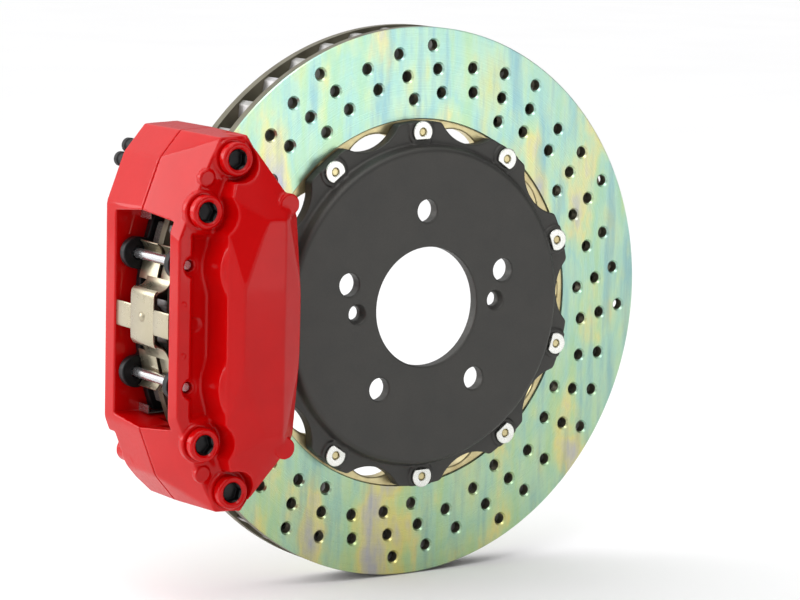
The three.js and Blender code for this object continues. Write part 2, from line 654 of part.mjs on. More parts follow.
// pressed spring: a raised strap across the window, and a leaf under each pad pin
function padSpring() {
  const t = SPRING.thickness;
  const strap = box([SPRING.strapX - t / 2, SPRING.strapX + t / 2],
    [DISC_CENTRE_Y - SPRING.strapHalf, DISC_CENTRE_Y + SPRING.strapHalf], [-13, 15]);
  const tabs = box([SPRING.strapX - t / 2, SPRING.strapX + t / 2],
    [DISC_CENTRE_Y - SPRING.tabHalf, DISC_CENTRE_Y + SPRING.tabHalf], [-8.5, 8]);
  const rivet = rod(new THREE.Vector3(SPRING.strapX + 2, DISC_CENTRE_Y, 0),
    new THREE.Vector3(SPRING.strapX - 1.6, DISC_CENTRE_Y, 0), 3, 12);
  const pieces = [strap, tabs, rivet];
  for (const end of [1, -1]) {
    pieces.push(springLeaf(end));
  }
  return joined(pieces);
}

// one leaf as a bent strip: down from the strap, flat under the pin, lip up at its tip
function springLeaf(end) {
  const t = SPRING.thickness;
  const start = end > 0 ? 14.5 : 12.5;
  const line = [
    [SPRING.strapX, start - 1], [SPRING.strapX + 2, start + 2.6], [-176.6, start + 4],
    [-173.8, 22], [-172.2, 29], [SPRING.leafX, PAD_PIN.z - 1], [SPRING.leafX, 39.5], [-173.4, 44.6],
  ];
  const strips = [];
  for (let i = 0; i + 1 < line.length; i += 1) {
    const half = i < 2 ? SPRING.strapHalf : SPRING.leafHalf;
    const corners = [line[i], line[i + 1]].flatMap(([x, z]) => [half, -half].flatMap((y) => [
      new THREE.Vector3(x - t / 2, DISC_CENTRE_Y + y, end * (z - t / 2)),
      new THREE.Vector3(x + t / 2, DISC_CENTRE_Y + y, end * (z - t / 2)),
      new THREE.Vector3(x - t / 2, DISC_CENTRE_Y + y, end * (z + t / 2)),
      new THREE.Vector3(x + t / 2, DISC_CENTRE_Y + y, end * (z + t / 2)),
    ]));
    strips.push(solid(new ConvexGeometry(corners)));
  }
  return joined(strips);
}

function bleedScrew({ x, z }) {
  return joined([
    rodH(INBOARD, x, z, LAND_H - 3, BLEEDER.seatH + 1, BLEEDER.thread, 10),
    rodH(INBOARD, x, z, BLEEDER.seatH + GAP, BLEEDER.hexTop, BLEEDER.hexRadius, 6),
    rodH(INBOARD, x, z, BLEEDER.hexTop - 1, BLEEDER.nippleTop, BLEEDER.nipple, 8),
  ]);
}

function bleedCap({ x, z }) {
  const skirt = rodH(INBOARD, x, z, BLEEDER.hexTop + GAP, BLEEDER.capTop, BLEEDER.cap, 12);
  const { hexTop, nipple, nippleTop } = BLEEDER;
  return skirt.subtract(rodH(INBOARD, x, z, hexTop, nippleTop + 1, nipple + GAP, 8));
}

function crossoverSeal() {
  const body = rodY(FLUID.x, FLUID.z, DISC_CENTRE_Y - 1, DISC_CENTRE_Y + 1, FLUID.radius + 1.5, 12);
  return body.subtract(rodY(FLUID.x, FLUID.z, DISC_CENTRE_Y - 2, DISC_CENTRE_Y + 2, FLUID.radius, 8));
}

// ---- assembly ----
place('rotor_ring', rotorRing(), 'disc');
place('bell', bell(), 'bell');
for (let i = 0; i < LUG_COUNT; i += 1) {
  place(`float_bobbin_${i + 1}`, bobbin(lugAngle(i)), 'bobbin');
  place(`bobbin_bolt_${i + 1}`, bobbinBolt(lugAngle(i)), 'zinc');
}
place('outboard_body', outboardHalf(), 'paint');
place('inboard_body', inboardHalf(), 'paint');
place('crossover_seal', crossoverSeal(), 'rubber');
bridgeBoltPlaces().forEach((bolt, i) => {
  place(`bridge_bolt_${i + 1}`, bridgeBolt(bolt), 'paint');
});
for (const [sideName, side] of [['outboard', OUTBOARD], ['inboard', INBOARD]]) {
  for (const [level, end] of [['upper', 1], ['lower', -1]]) {
    place(`piston_${sideName}_${level}`, piston(side, end * PISTON.z), 'steel');
    place(`piston_seal_${sideName}_${level}`, pistonSeal(side, end * PISTON.z), 'rubber');
    place(`abutment_${sideName}_${level}`, abutment(side, end), 'steel');
  }
  place(`pad_backing_${sideName}`, backing(side), 'backing');
  place(`pad_lining_${sideName}`, lining(side), 'lining');
}
for (const [level, end] of [['upper', 1], ['lower', -1]]) {
  const { x, z, end: reach, radius } = PAD_PIN;
  const pin = rodY(x, end * z, yAt(OUTBOARD, reach), yAt(INBOARD, reach), radius, 12);
  place(`pad_pin_${level}`, pin, 'steel');
}
place('pad_spring', padSpring(), 'spring');
BLEEDERS.forEach((bleeder, i) => {
  place(`bleed_screw_${i + 1}`, bleedScrew(bleeder), 'zinc');
  place(`bleed_cap_${i + 1}`, bleedCap(bleeder), 'rubber');
});

export default group;
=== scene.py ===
"""Looks of a floating brake disc with its fixed four-piston caliper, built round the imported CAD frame.

Shapes are worked out in millimetres and written to Blender in metres. The disc axis is Y, and the
caliper sits over the disc's -X edge. Cast and machined pieces are distance fields: each shape is a
function that gives the distance of points from its surface, and surface() meshes it with rounded edges.
"""

import json
import math

import bmesh
import bpy
import numpy as np
from mathutils import Matrix, Vector, geometry


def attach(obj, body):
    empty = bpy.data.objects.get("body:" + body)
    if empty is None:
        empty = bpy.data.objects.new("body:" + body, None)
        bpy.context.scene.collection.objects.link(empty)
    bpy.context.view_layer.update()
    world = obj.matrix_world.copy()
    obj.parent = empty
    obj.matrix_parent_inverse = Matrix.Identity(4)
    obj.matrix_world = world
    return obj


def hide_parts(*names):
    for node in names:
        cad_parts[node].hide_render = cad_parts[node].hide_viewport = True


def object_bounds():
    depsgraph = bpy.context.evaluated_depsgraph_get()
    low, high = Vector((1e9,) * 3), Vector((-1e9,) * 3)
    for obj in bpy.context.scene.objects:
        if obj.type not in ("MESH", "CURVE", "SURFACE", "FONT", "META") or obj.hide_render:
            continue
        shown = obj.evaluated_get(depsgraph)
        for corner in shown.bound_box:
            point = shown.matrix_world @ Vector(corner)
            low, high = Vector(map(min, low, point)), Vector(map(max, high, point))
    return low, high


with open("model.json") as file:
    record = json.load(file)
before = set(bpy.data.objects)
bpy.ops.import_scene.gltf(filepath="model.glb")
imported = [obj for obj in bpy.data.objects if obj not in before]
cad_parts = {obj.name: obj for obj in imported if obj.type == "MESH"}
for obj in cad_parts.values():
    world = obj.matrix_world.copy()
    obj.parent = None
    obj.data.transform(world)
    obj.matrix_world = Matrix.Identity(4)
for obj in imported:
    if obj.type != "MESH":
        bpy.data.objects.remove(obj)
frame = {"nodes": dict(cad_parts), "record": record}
cad_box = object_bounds()

MM = 0.001
DISC_CENTRE_Y = 22.0
DISC_CLOCK_DEG = -1.5
LUG_COUNT = 10
BOBBIN_CIRCLE_RADIUS = 108.5
STUD_CIRCLE_RADIUS = 60
STUD_COUNT = 5
RIM_RADIUS = 172.5
FRICTION_INNER_RADIUS = 116.0
OUTBOARD = -1
INBOARD = 1
SHARP_ANGLE_DEG = 30
SHADING_ANGLE_DEG = 38


# ---- camera ----
def add_camera():
    yaw, pitch, roll = math.radians(-33.63), math.radians(8.44), math.radians(1.42)
    right = Vector((math.cos(yaw), math.sin(yaw), 0))
    level = math.cos(pitch)
    back = Vector((math.sin(yaw) * level, -math.cos(yaw) * level, math.sin(pitch)))
    up = back.cross(right)
    rolled_right = math.cos(roll) * right + math.sin(roll) * up
    rolled_up = -math.sin(roll) * right + math.cos(roll) * up
    data = bpy.data.cameras.new("camera")
    data.lens = 140.62
    data.sensor_width = 36
    data.clip_start = 0.05
    camera = bpy.data.objects.new("camera", data)
    turn = Matrix((rolled_right, rolled_up, back)).transposed().to_4x4()
    camera.matrix_world = Matrix.Translation((-1.0757, -1.5942, 0.2883)) @ turn
    bpy.context.scene.collection.objects.link(camera)
    bpy.context.scene.camera = camera


add_camera()


# ---- meshes ----
def new_object(name, points, faces):
    """Mesh object from points in millimetres."""
    mesh = bpy.data.meshes.new(name)
    places = (np.asarray(points, float) * MM).tolist()
    mesh.from_pydata(places, [], [list(map(int, face)) for face in faces])
    mesh.validate()
    mesh.polygons.foreach_set("use_smooth", [True] * len(mesh.polygons))
    mesh.update()
    obj = bpy.data.objects.new(name, mesh)
    bpy.context.scene.collection.objects.link(obj)
    return obj


CORNERS = np.array([(i, j, k) for i in (0, 1) for j in (0, 1) for k in (0, 1)])
EDGES = [
    (a, b) for a in range(8) for b in range(a + 1, 8) if abs(CORNERS[a] - CORNERS[b]).sum() == 1
]


def surface(distance, low, high, step):
    """Points and quads of the surface where distance(x, y, z) is zero, inside the box low..high."""
    low = np.asarray(low, float)
    shape = np.ceil((np.asarray(high, float) - low) / step).astype(int) + 1
    axes = [low[i] + step * np.arange(shape[i]) for i in range(3)]
    grid = np.meshgrid(*axes, indexing="ij")
    field = distance(*[g.ravel().astype(np.float32) for g in grid]).reshape(shape)
    inside = field < 0
    cells = tuple(n - 1 for n in shape)
    count = np.zeros(cells, np.int8)
    for corner in CORNERS:
        count += inside[tuple(slice(c, c + n) for c, n in zip(corner, cells))]
    active = np.argwhere((count > 0) & (count < 8))
    values = np.stack([field[tuple((active + corner).T)] for corner in CORNERS], axis=1)
    total = np.zeros((len(active), 3))
    crossings = np.zeros(len(active))
    for a, b in EDGES:
        crosses = (values[:, a] < 0) != (values[:, b] < 0)
        spread = np.where(crosses, values[:, a] - values[:, b], 1)
        share = (values[:, a] / spread)[:, None]
        total += crosses[:, None] * (CORNERS[a] + share * (CORNERS[b] - CORNERS[a]))
        crossings += crosses
    points = low + step * (active + total / crossings[:, None])
    points = pulled_to_surface(distance, points, step)
    number = np.full(cells, -1, np.int64)
    number[tuple(active.T)] = np.arange(len(active))
    return points, grid_quads(inside, number)


def pulled_to_surface(distance, points, step):
    """Points moved along the field's slope onto its surface, by half a step at most."""
    small = 0.05
    for _ in range(2):
        x, y, z = points.T
        here = distance(x, y, z)
        slope = np.stack([
            distance(x + small, y, z) - here,
            distance(x, y + small, z) - here,
            distance(x, y, z + small) - here,
        ], axis=1) / small
        steep = np.maximum((slope ** 2).sum(axis=1), 0.3)
        move = -(here / steep)[:, None] * slope
        points = points + np.clip(move, -step / 2, step / 2)
    return points


def grid_quads(inside, number):
    """One quad round each grid edge that crosses the surface, facing out."""
    quads = []
    for axis in range(3):
        u, v = [(1, 2), (2, 0), (0, 1)][axis]
        here = [slice(1, -1)] * 3
        there = [slice(1, -1)] * 3
        here[axis] = slice(0, -1)
        there[axis] = slice(1, None)
        first, second = inside[tuple(here)], inside[tuple(there)]
        for start, order in ((first & ~second, (0, 1, 2, 3)), (~first & second, (3, 2, 1, 0))):
            at = np.argwhere(start)
            at[:, [u, v]] += 1
            ring = []
            for du, dv in ((1, 1), (0, 1), (0, 0), (1, 0)):
                cell = at.copy()
                cell[:, u] -= du
                cell[:, v] -= dv
                ring.append(number[tuple(cell.T)])
            quads.append(np.stack([ring[i] for i in (2, 3, 0, 1)], axis=1)[:, order])
    quads = np.concatenate(quads)
    return quads[(quads >= 0).all(axis=1)]


def lathe(name, profile, segments):
    """Turned piece about the Y axis through the origin, from a closed (radius, y) profile."""
    points = []
    faces = []
    rows = len(profile)
    for i in range(segments):
        turn = 2 * math.pi * i / segments
        points += [(r * math.sin(turn), y, r * math.cos(turn)) for r, y in profile]
        for j in range(rows):
            here, there = i * rows, ((i + 1) % segments) * rows
            after = (j + 1) % rows
            faces.append((here + j, here + after, there + after, there + j))
    obj = new_object(name, points, faces)
    bevel_edges(obj, 0)
    return obj


def bevel_edges(obj, width):
    """Outward faces, welded seams, and a round of this width, if any, on the sharp edges."""
    mesh = bmesh.new()
    mesh.from_mesh(obj.data)
    bmesh.ops.remove_doubles(mesh, verts=mesh.verts, dist=1e-7)
    bmesh.ops.recalc_face_normals(mesh, faces=mesh.faces)
    if width:
        limit = math.radians(SHARP_ANGLE_DEG)
        sharp = [e for e in mesh.edges if e.is_manifold and e.calc_face_angle() > limit]
        bmesh.ops.bevel(
            mesh, geom=sharp, offset=width * MM, segments=2, affect="EDGES", profile=0.5,
        )
    for face in mesh.faces:
        face.smooth = True
    mesh.to_mesh(obj.data)
    mesh.free()
    obj.data.set_sharp_from_angle(angle=math.radians(SHADING_ANGLE_DEG))


# ---- distance fields ----
def hull_planes(points):
    """Outward planes (nx, ny, nz, offset) of the points' convex hull, near-equal ones merged."""
    mesh = bmesh.new()
    for p in points:
        mesh.verts.new(p)
    bmesh.ops.convex_hull(mesh, input=mesh.verts)
    centre = Vector(np.mean(points, axis=0))
    planes = []
    for face in sorted(mesh.faces, key=lambda f: -f.calc_area()):
        normal = face.normal.copy()
        at = face.calc_center_median()
        if normal.dot(at - centre) < 0:
            normal.negate()
        if face.calc_area() > 0.5 and all(normal.dot(p[0]) < 0.9995 for p in planes):
            planes.append((normal, normal.dot(at)))
    mesh.free()
    return [(*n, c) for n, c in planes]


def rounded_hull(x, y, z, planes, radius):
    """Distance from the hull with its edges rounded; the fourth power keeps them crisper."""
    worst = np.full_like(x, -1e9)
    beyond = np.zeros_like(x)
    for nx, ny, nz, offset in planes:
        over = nx * x + ny * y + nz * z - (offset - radius)
        worst = np.maximum(worst, over)
        beyond += np.maximum(over, 0) ** 4
    return np.where(worst > 0, beyond ** 0.25, worst) - radius


def crossed(a, b, radius):
    """Where both fields are inside, with the edge between them rounded."""
    a, b = a + radius, b + radius
    return np.minimum(np.maximum(a, b), 0) + np.hypot(np.maximum(a, 0), np.maximum(b, 0)) - radius


def bar(u, v, w, centre, radius, low, high, edge=0.5):
    """Round bar along w, between low and high, about centre (u, v)."""
    radial = np.hypot(u - centre[0], v - centre[1]) - radius
    return crossed(radial, np.abs(w - (low + high) / 2) - (high - low) / 2, edge)


def block(x, y, z, low, high, edge=0.5):
    sides = [np.abs(p - (a + b) / 2) - (b - a) / 2 for p, a, b in zip((x, y, z), low, high)]
    return crossed(crossed(sides[0], sides[1], edge), sides[2], edge)


def joined(a, b, blend):
    """Union with a fillet of about blend."""
    close = np.maximum(blend - np.abs(a - b), 0) / blend
    return np.minimum(a, b) - close * close * blend / 4


def carved(a, b, blend):
    """a less b, with a round of about blend on the new edge."""
    return -joined(-a, b, blend)


def hexagon(u, v, radius):
    """Distance from a six-sided prism whose corners are at radius."""
    flat = radius * math.cos(math.pi / 6)
    worst = np.full_like(u, -1e9)
    for i in range(6):
        turn = math.radians(30 + 60 * i)
        worst = np.maximum(worst, u * math.cos(turn) + v * math.sin(turn) - flat)
    return worst


def both_ends(points):
    return [p for x, h, z in points for p in ((x, h, z), (x, h, -z))]


def at_h(points, h):
    return [(x, h, z) for x, z in points]


# ---- caliper: h is the distance from the disc's centre plane ----
PARTING_H = 0.15
LAND_H = 43.0
SEAT_H = 44.2
PANEL_H = 67.0
CHANNEL_DEPTH = 5.5
BRIDGE_BOLTS = [(-150.0, 99.3, 13.4), (-169.5, 69.0, 14.4)]
PIN_X, PIN_Z = -174.5, 36.3
PISTON_X, PISTON_Z = -141.0, 35.0
PISTON_RADIUS = 20.0
RIDGE = [(-186, 66), (-174.5, 96), (-160.5, 112.5), (-138, 113.5)]
CREASE = [(-184.5, 53), (-165.7, 96), (-157.5, 111.5), (-140, 112.5)]
INNER = [(-110, 18), (-114, 66), (-118.5, 79)]
BLOCK_FOOT = [(-161.5, 58), (-158, 77), (-151, 89), (-145, 112), (-140, 112.3)]
INBOARD_LAND_H = 44.0
LOWER_STEP_Z, LOWER_STEP_H = -75.0, 37.3
LUG = {"z": 76, "seat": -156, "face": -128, "half": 12, "hole_h": 69, "top": 80}
LUG_HOLE_RADIUS = 6.3
INLET = (-168.5, -88.0)
BLEEDERS = [(-161.0, 97.4), (-166.3, 89.2)]
BACKING_LOW_H, BACKING_HIGH_H = 24.3, 29.8
LINING_MIDDLE_H, LINING_HALF = 19.4, 4.6
BOLT_RECESS = 0.3
# Height above the seat and radius within which the bolt socket's faces get a painted shade.
SOCKET_SHADE_TOP_H = 5.6
SOCKET_SHADE_RADIUS = 6.9
PIN_END_H = 34.8
CALIPER_STEP = 0.85
PAD_STEP = 0.6

OUTBOARD_PLANES = hull_planes(both_ends(
    at_h(RIDGE + INNER, -6) + at_h(RIDGE, PARTING_H) + at_h(CREASE + INNER, LAND_H)
))
INBOARD_PLANES = hull_planes(both_ends(
    at_h(RIDGE + INNER, -6) + at_h(RIDGE + INNER, INBOARD_LAND_H)
))
BLOCK_PLANES = hull_planes(both_ends([
    (-126, PANEL_H, 64.3), (-138.5, PANEL_H, 64.5), (-153.5, PANEL_H, 25),
    (-161.5, 61, 58), (-158, 58.8, 77), (-151, 53.8, 89), (-141, 44.5, 112),
    (-119.5, 59.5, 76), (-110, 58.5, 18), (-114, 58.5, 66),
    *at_h(BLOCK_FOOT + INNER, LAND_H - 14),
]))
CHANNEL_PLANES = hull_planes(both_ends([
    (-178.3, LAND_H + 5, 58), (-172.5, LAND_H - CHANNEL_DEPTH, 53),
    (-158, LAND_H - CHANNEL_DEPTH, 53), (-158, LAND_H + 5, 58),
]))
WINDOW_PLANES = hull_planes(both_ends([
    (-205, -9, 66.5), (-90, -9, 66.5), (-205, 32.2, 62), (-90, 32.2, 62),
]))


def caliper_common(x, h, z, bridge):
    """What both halves share: the given bridge with its trough, piston block, window and bores."""
    mirrored = np.abs(z)
    body = carved(bridge, rounded_hull(x, h, z, CHANNEL_PLANES, 2.0), 1.2)
    piston_block = rounded_hull(x, h, z, BLOCK_PLANES, 0.9)
    bulge = bar(x, mirrored, h, (PISTON_X, PISTON_Z), 24.0, 30, 59.5, 2.5)
    piston_block = joined(piston_block, bulge, 3.5)
    body = joined(body, piston_block, 2.2)
    boss = bar(x, mirrored, h, (-121.7, 72.9), 6.6, 40, 63.2, 0.6)
    body = joined(body, boss, 1.2)
    body = carved(body, rounded_hull(x, h, z, WINDOW_PLANES, 1.5), 0.9)
    body = carved(body, bar(x, z, h, (0, 0), 175.5, -9, 16, 1.0), 1.0)
    piston_bore = bar(x, mirrored, h, (PISTON_X, PISTON_Z), PISTON_RADIUS, 30, 58, 0.4)
    body = carved(body, piston_bore, 0.8)
    pin_pocket = bar(x, mirrored, h, (PIN_X, PIN_Z), 6.0, LAND_H - CHANNEL_DEPTH, LAND_H + 9, 0.8)
    body = carved(body, pin_pocket, 1.2)
    body = carved(body, bar(x, mirrored, h, (PIN_X, PIN_Z), 3.5, 30, LAND_H, 0.2), 0.4)
    return np.maximum(body, PARTING_H - h)


def outboard_half(x, h, z):
    mirrored = np.abs(z)
    body = caliper_common(x, h, z, rounded_hull(x, h, z, OUTBOARD_PLANES, 1.0))
    for bolt_x, bolt_z, relief in BRIDGE_BOLTS:
        at = (bolt_x, bolt_z)
        body = carved(body, bar(x, mirrored, h, at, relief, SEAT_H, PANEL_H + 9, 1.5), 1.6)
        body = joined(body, bar(x, mirrored, h, at, 11.8, LAND_H - 4, SEAT_H, 0.7), 1.2)
        body = carved(body, bar(x, mirrored, h, at, 6.2, -9, SEAT_H + 9, 0.2), 0.5)
    web = bar(x, mirrored, h, (-166.6, 88.2), 5.0, LAND_H - 4, LAND_H + 0.7, 0.4)
    body = joined(body, web, 1.0)
    for mark_z in (14.5, -16.0):
        mark = bar(x, z, h, (-180.6, mark_z), 1.5, LAND_H - 4, LAND_H + 0.3, 0.2)
        body = joined(body, mark, 0.3)
    body = carved(body, bar(x, z, h, (-170.5, 1.0), 4.2, LAND_H - 6.4, LAND_H + 9, 0.6), 1.4)
    return np.maximum(body, PARTING_H - h)


def mounting_lug(x, h, z):
    """The two lugs, and the bores through them."""
    mirrored = np.abs(z)
    middle = (LUG["seat"] + LUG["face"]) / 2
    web = block(x, h, mirrored, (LUG["seat"], 30, LUG["z"] - LUG["half"]),
                (LUG["face"], LUG["hole_h"], LUG["z"] + LUG["half"]), 1.2)
    eye = bar(h, mirrored, x, (LUG["hole_h"], LUG["z"]), LUG["half"], LUG["seat"], LUG["face"], 1.2)
    lug = joined(web, np.maximum(eye, h - LUG["top"] + 0.2), 0.5)
    hole = (LUG["hole_h"], LUG["z"])
    bore = bar(h, mirrored, x, hole, LUG_HOLE_RADIUS, middle - 40, middle + 40, 0.2)
    return lug, bore


def inboard_half(x, h, z):
    bridge = rounded_hull(x, h, z, INBOARD_PLANES, 1.2)
    step = crossed(LOWER_STEP_H - h, z - LOWER_STEP_Z, 1.0)
    bridge = carved(bridge, crossed(x + 150, step, 1.0), 1.5)
    slope = 0.81 * (LOWER_STEP_H - h) + 0.58 * (z + 104)
    bridge = carved(bridge, crossed(x + 150, slope, 1.0), 1.5)
    lug, bore = mounting_lug(x, h, z)
    body = joined(caliper_common(x, h, z, bridge), lug, 4.0)
    body = joined(body, bar(x, z, h, INLET, 7.6, 26, 47, 0.8), 2.0)
    body = carved(body, bar(x, z, h, INLET, 4.6, 35, 70, 0.3), 0.8)
    for centre in BLEEDERS:
        body = joined(body, bar(x, z, h, centre, 6.0, 36, 49, 0.8), 2.0)
    for centre in BLEEDERS:
        body = carved(body, bar(x, z, h, centre, 3.6, LAND_H - 5, 60, 0.2), 0.4)
    body = carved(body, bore, 1.0)
    return np.maximum(body, PARTING_H - h)


def caliper_piece(name, field, side, low, high, step):
    """Mesh of a field given in (x, h, z), placed on its side of the disc."""
    points, faces = surface(field, low, high, step)
    points[:, 1] = DISC_CENTRE_Y + side * points[:, 1]
    if side < 0:
        faces = faces[:, ::-1]
    return new_object(name, points, faces)


def bridge_bolt(x, h, z):
    """Socket screw head at the origin, its seat at h = 0."""
    head = bar(x, z, h, (0, 0), 10.0, 0, 6.9, 1.6)
    head = np.minimum(head, bar(x, z, h, (0, 0), 7.4, -9, 3, 0.3))
    flare = np.hypot(x, z) - (7.4 - 0.9 * (6.9 - h))
    head = carved(head, np.maximum(flare * 0.74, 4.9 - h), 0.6)
    socket = crossed(hexagon(x, z, 5.9), np.abs(h - 7) - 14.5, 0.2)
    washer = bar(x, z, h, (0, 0), 10.7, 0, 0.9, 0.3)
    shank = bar(x, z, h, (0, 0), 5.9, -24, -8, 0.3)
    screw = np.minimum(carved(head, socket, 0.6), shank)
    return np.minimum(screw, carved(washer, -head - 0.3, 0.1))


def backing_plate(x, h, z):
    mirrored = np.abs(z)
    radius = np.hypot(x, z)
    plate = crossed(radius - 174, 117.5 - radius, 0.6)
    plate = crossed(plate, mirrored - 60.4, 1.5)
    plate = crossed(plate, x + 112.5, 1.0)
    lobe = np.hypot(x - PIN_X, mirrored - PIN_Z) - 9.8
    plate = joined(plate, lobe, 3.0)
    plate = carved(plate, np.hypot(x - PIN_X, mirrored - PIN_Z) - 3.7, 0.3)
    middle, half = (BACKING_LOW_H + BACKING_HIGH_H) / 2, (BACKING_HIGH_H - BACKING_LOW_H) / 2
    return crossed(plate, np.abs(h - middle) - half, 0.5)


def pad_lining(x, h, z):
    mirrored = np.abs(z)
    radius = np.hypot(x, z)
    pad = crossed(radius - 170.5, 118.5 - radius, 0.5)
    pad = crossed(pad, mirrored - 55, 0.8)
    pad = crossed(pad, x + 112.5, 0.5)
    pad = crossed(pad, np.abs(h - LINING_MIDDLE_H) - LINING_HALF, 0.6)
    chamfer = (mirrored - 55) * 0.5 - (h - 14.8) * 0.866 + 2.4
    return carved(np.maximum(pad, chamfer), np.maximum(mirrored - 1.5, h - 21.5), 0.4)


def add_caliper():
    pieces = []
    corner = (-189, -1, -116)
    outer = caliper_piece(
        "caliper_outboard", outboard_half, OUTBOARD, corner, (-104, 69, 116), CALIPER_STEP,
    )
    inner = caliper_piece(
        "caliper_inboard", inboard_half, INBOARD, corner, (-104, 83, 116), CALIPER_STEP,
    )
    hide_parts("outboard_body")
    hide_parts("inboard_body")
    pieces += [(outer, RED_PAINT, "red_paint"), (inner, RED_PAINT, "red_paint")]
    points, faces = surface(bridge_bolt, (-12, -25, -12), (12, 8, 12), 0.4)
    places = [(x, end * z) for x, z, _ in BRIDGE_BOLTS for end in (1, -1)]
    for i, (x, z) in enumerate(places):
        turned = points @ np.array(Matrix.Rotation(0.5 + 0.8 * i, 3, "Y"))
        turned[:, 1] = DISC_CENTRE_Y - (SEAT_H + BOLT_RECESS) - turned[:, 1]
        bolt = new_object(f"bridge_bolt_head_{i + 1}", turned + (x, 0, z), faces[:, ::-1])
        bolt.data.materials.append(RED_PAINT)
        # Faces deep inside the socket take the near-black look: a painted shade, as the real socket is
        # painted red like the head.
        bolt.data.materials.append(BLACK_ZINC_AND_SOCKET_SHADE)
        rim = DISC_CENTRE_Y - (SEAT_H + BOLT_RECESS) - SOCKET_SHADE_TOP_H
        for face in bolt.data.polygons:
            out = math.hypot(face.center.x / MM - x, face.center.z / MM - z)
            in_socket_shade = out < SOCKET_SHADE_RADIUS and face.center.y / MM > rim
            face.material_index = 1 if in_socket_shade else 0
        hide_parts(f"bridge_bolt_{i + 1}")
        pieces.append((bolt, None, "red_paint"))
    for side, word in ((OUTBOARD, "outboard"), (INBOARD, "inboard")):
        plate = caliper_piece(
            f"backing_plate_{word}", backing_plate, side, (-186, 22.5, -62), (-110, 31.5, 62), PAD_STEP,
        )
        lining = caliper_piece(
            f"lining_{word}", pad_lining, side, (-173, 13, -57), (-110, 27, 57), PAD_STEP,
        )
        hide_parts(f"pad_backing_{word}")
        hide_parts(f"pad_lining_{word}")
        finish_piece(plate, BACKING, f"pad_{word}")
        finish_piece(lining, LINING, f"pad_{word}")
    for obj, look, slot in pieces:
        finish_piece(obj, look, "caliper")


# ---- pad pins, spring, bleed screws ----
SHEET_THICKNESS = 0.9
STRAP_X = -184.6
STRAP_HALF = 14
TAB_START, TAB_END = 13.5, 31.9
LEAF_START, LEAF_END = 2.2, 23.4
CAP_SEAT_H = 53.3


def add_pins():
    low, high = DISC_CENTRE_Y - PIN_END_H, DISC_CENTRE_Y + PIN_END_H
    for word, z in (("upper", PIN_Z), ("lower", -PIN_Z)):
        pin = lathe(f"pin_{word}", [
            (0.01, low), (2.5, low), (3.25, low + 0.8),
            (3.25, high - 0.8), (2.5, high), (0.01, high),
        ], 40)
        move_mesh(pin, (PIN_X, 0, z))
        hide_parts(f"pad_pin_{word}")
        finish_piece(pin, POLISHED_STEEL, "caliper")


def move_mesh(obj, offset):
    obj.data.transform(Matrix.Translation(Vector(offset) * MM))


def smooth_path(points):
    """Path with its corners cut three times over (Chaikin) and its ends kept."""
    for _ in range(3):
        cut = [points[0]]
        for (ax, az), (bx, bz) in zip(points, points[1:]):
            cut.append((0.75 * ax + 0.25 * bx, 0.75 * az + 0.25 * bz))
            cut.append((0.25 * ax + 0.75 * bx, 0.25 * az + 0.75 * bz))
        points = [*cut, points[-1]]
    return points


def bent_strip(name, path, y_low, y_high):
    """Sheet-metal strip that follows a path in X and Z and runs across in Y."""
    path = np.array(smooth_path(path))
    along = np.gradient(path, axis=0)
    normal = np.stack([-along[:, 1], along[:, 0]], axis=1)
    normal /= np.linalg.norm(normal, axis=1)[:, None]
    points = []
    for (px, pz), (nx, nz) in zip(path, normal * SHEET_THICKNESS / 2):
        points += [(px + nx, y_low, pz + nz), (px + nx, y_high, pz + nz),
                   (px - nx, y_high, pz - nz), (px - nx, y_low, pz - nz)]
    faces = [(0, 1, 2, 3)]
    for i in range(len(path) - 1):
        for j in range(4):
            a, b = 4 * i + j, 4 * i + (j + 1) % 4
            faces.append((b, a, a + 4, b + 4))
    last = 4 * (len(path) - 1)
    faces.append((last + 3, last + 2, last + 1, last))
    strip = new_object(name, points, faces)
    bevel_edges(strip, 0.2)
    return strip


def add_spring():
    middle = DISC_CENTRE_Y
    strap = [
        (-182.2, 18.2), (STRAP_X + 0.4, 16.6), (STRAP_X, 13.5), (STRAP_X, 0), (STRAP_X, -12),
        (STRAP_X + 0.8, -14.5), (-182.5, -15.8),
    ]
    tab = [(STRAP_X + 0.3, 7.5), (STRAP_X, 6.5), (STRAP_X, -6.5), (STRAP_X + 0.3, -7.5)]
    strips = [
        bent_strip("spring_strap", strap, middle - STRAP_HALF, middle + STRAP_HALF),
        bent_strip("spring_tab_outboard", tab, middle - TAB_END, middle - TAB_START),
        bent_strip("spring_tab_inboard", tab, middle + TAB_START, middle + TAB_END),
    ]
    for word, end, start in (("upper", 1, 15.5), ("lower", -1, 13.5)):
        neck = [(-183.6, end * start), (-181.8, end * (start + 1.6)), (-177.4, end * (start + 3)),
                (-174.4, end * 21.0), (-173.4, end * 24.0)]
        strips.append(bent_strip(
            f"spring_neck_{word}", neck, middle - STRAP_HALF, middle + STRAP_HALF,
        ))
        leaf = [(-173.9, end * 21.6), (-173.0, end * 26), (-171.8, end * 31), (-170.4, end * 36),
                (-170.3, end * 39.5), (-171.6, end * 42.6), (-173.6, end * 44.4)]
        for part, low, high in (
            ("outboard", -LEAF_END, -LEAF_START), ("inboard", LEAF_START, LEAF_END),
        ):
            strips.append(bent_strip(
                f"spring_leaf_{word}_{part}", leaf, middle + low, middle + high,
            ))
    rivet = lathe("spring_rivet", [
        (0.01, -2.0), (1.5, -1.8), (2.7, -1.1), (3.3, 0.0),
        (3.3, 0.5), (1.6, 0.8), (1.6, 3.0), (0.01, 3.0),
    ], 32)
    rivet.data.transform(Matrix.Rotation(math.radians(-90), 4, "Z"))
    move_mesh(rivet, (STRAP_X, middle, 1.5))
    for obj in [*strips, rivet]:
        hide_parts("pad_spring")
        finish_piece(obj, SPRING, "caliper")


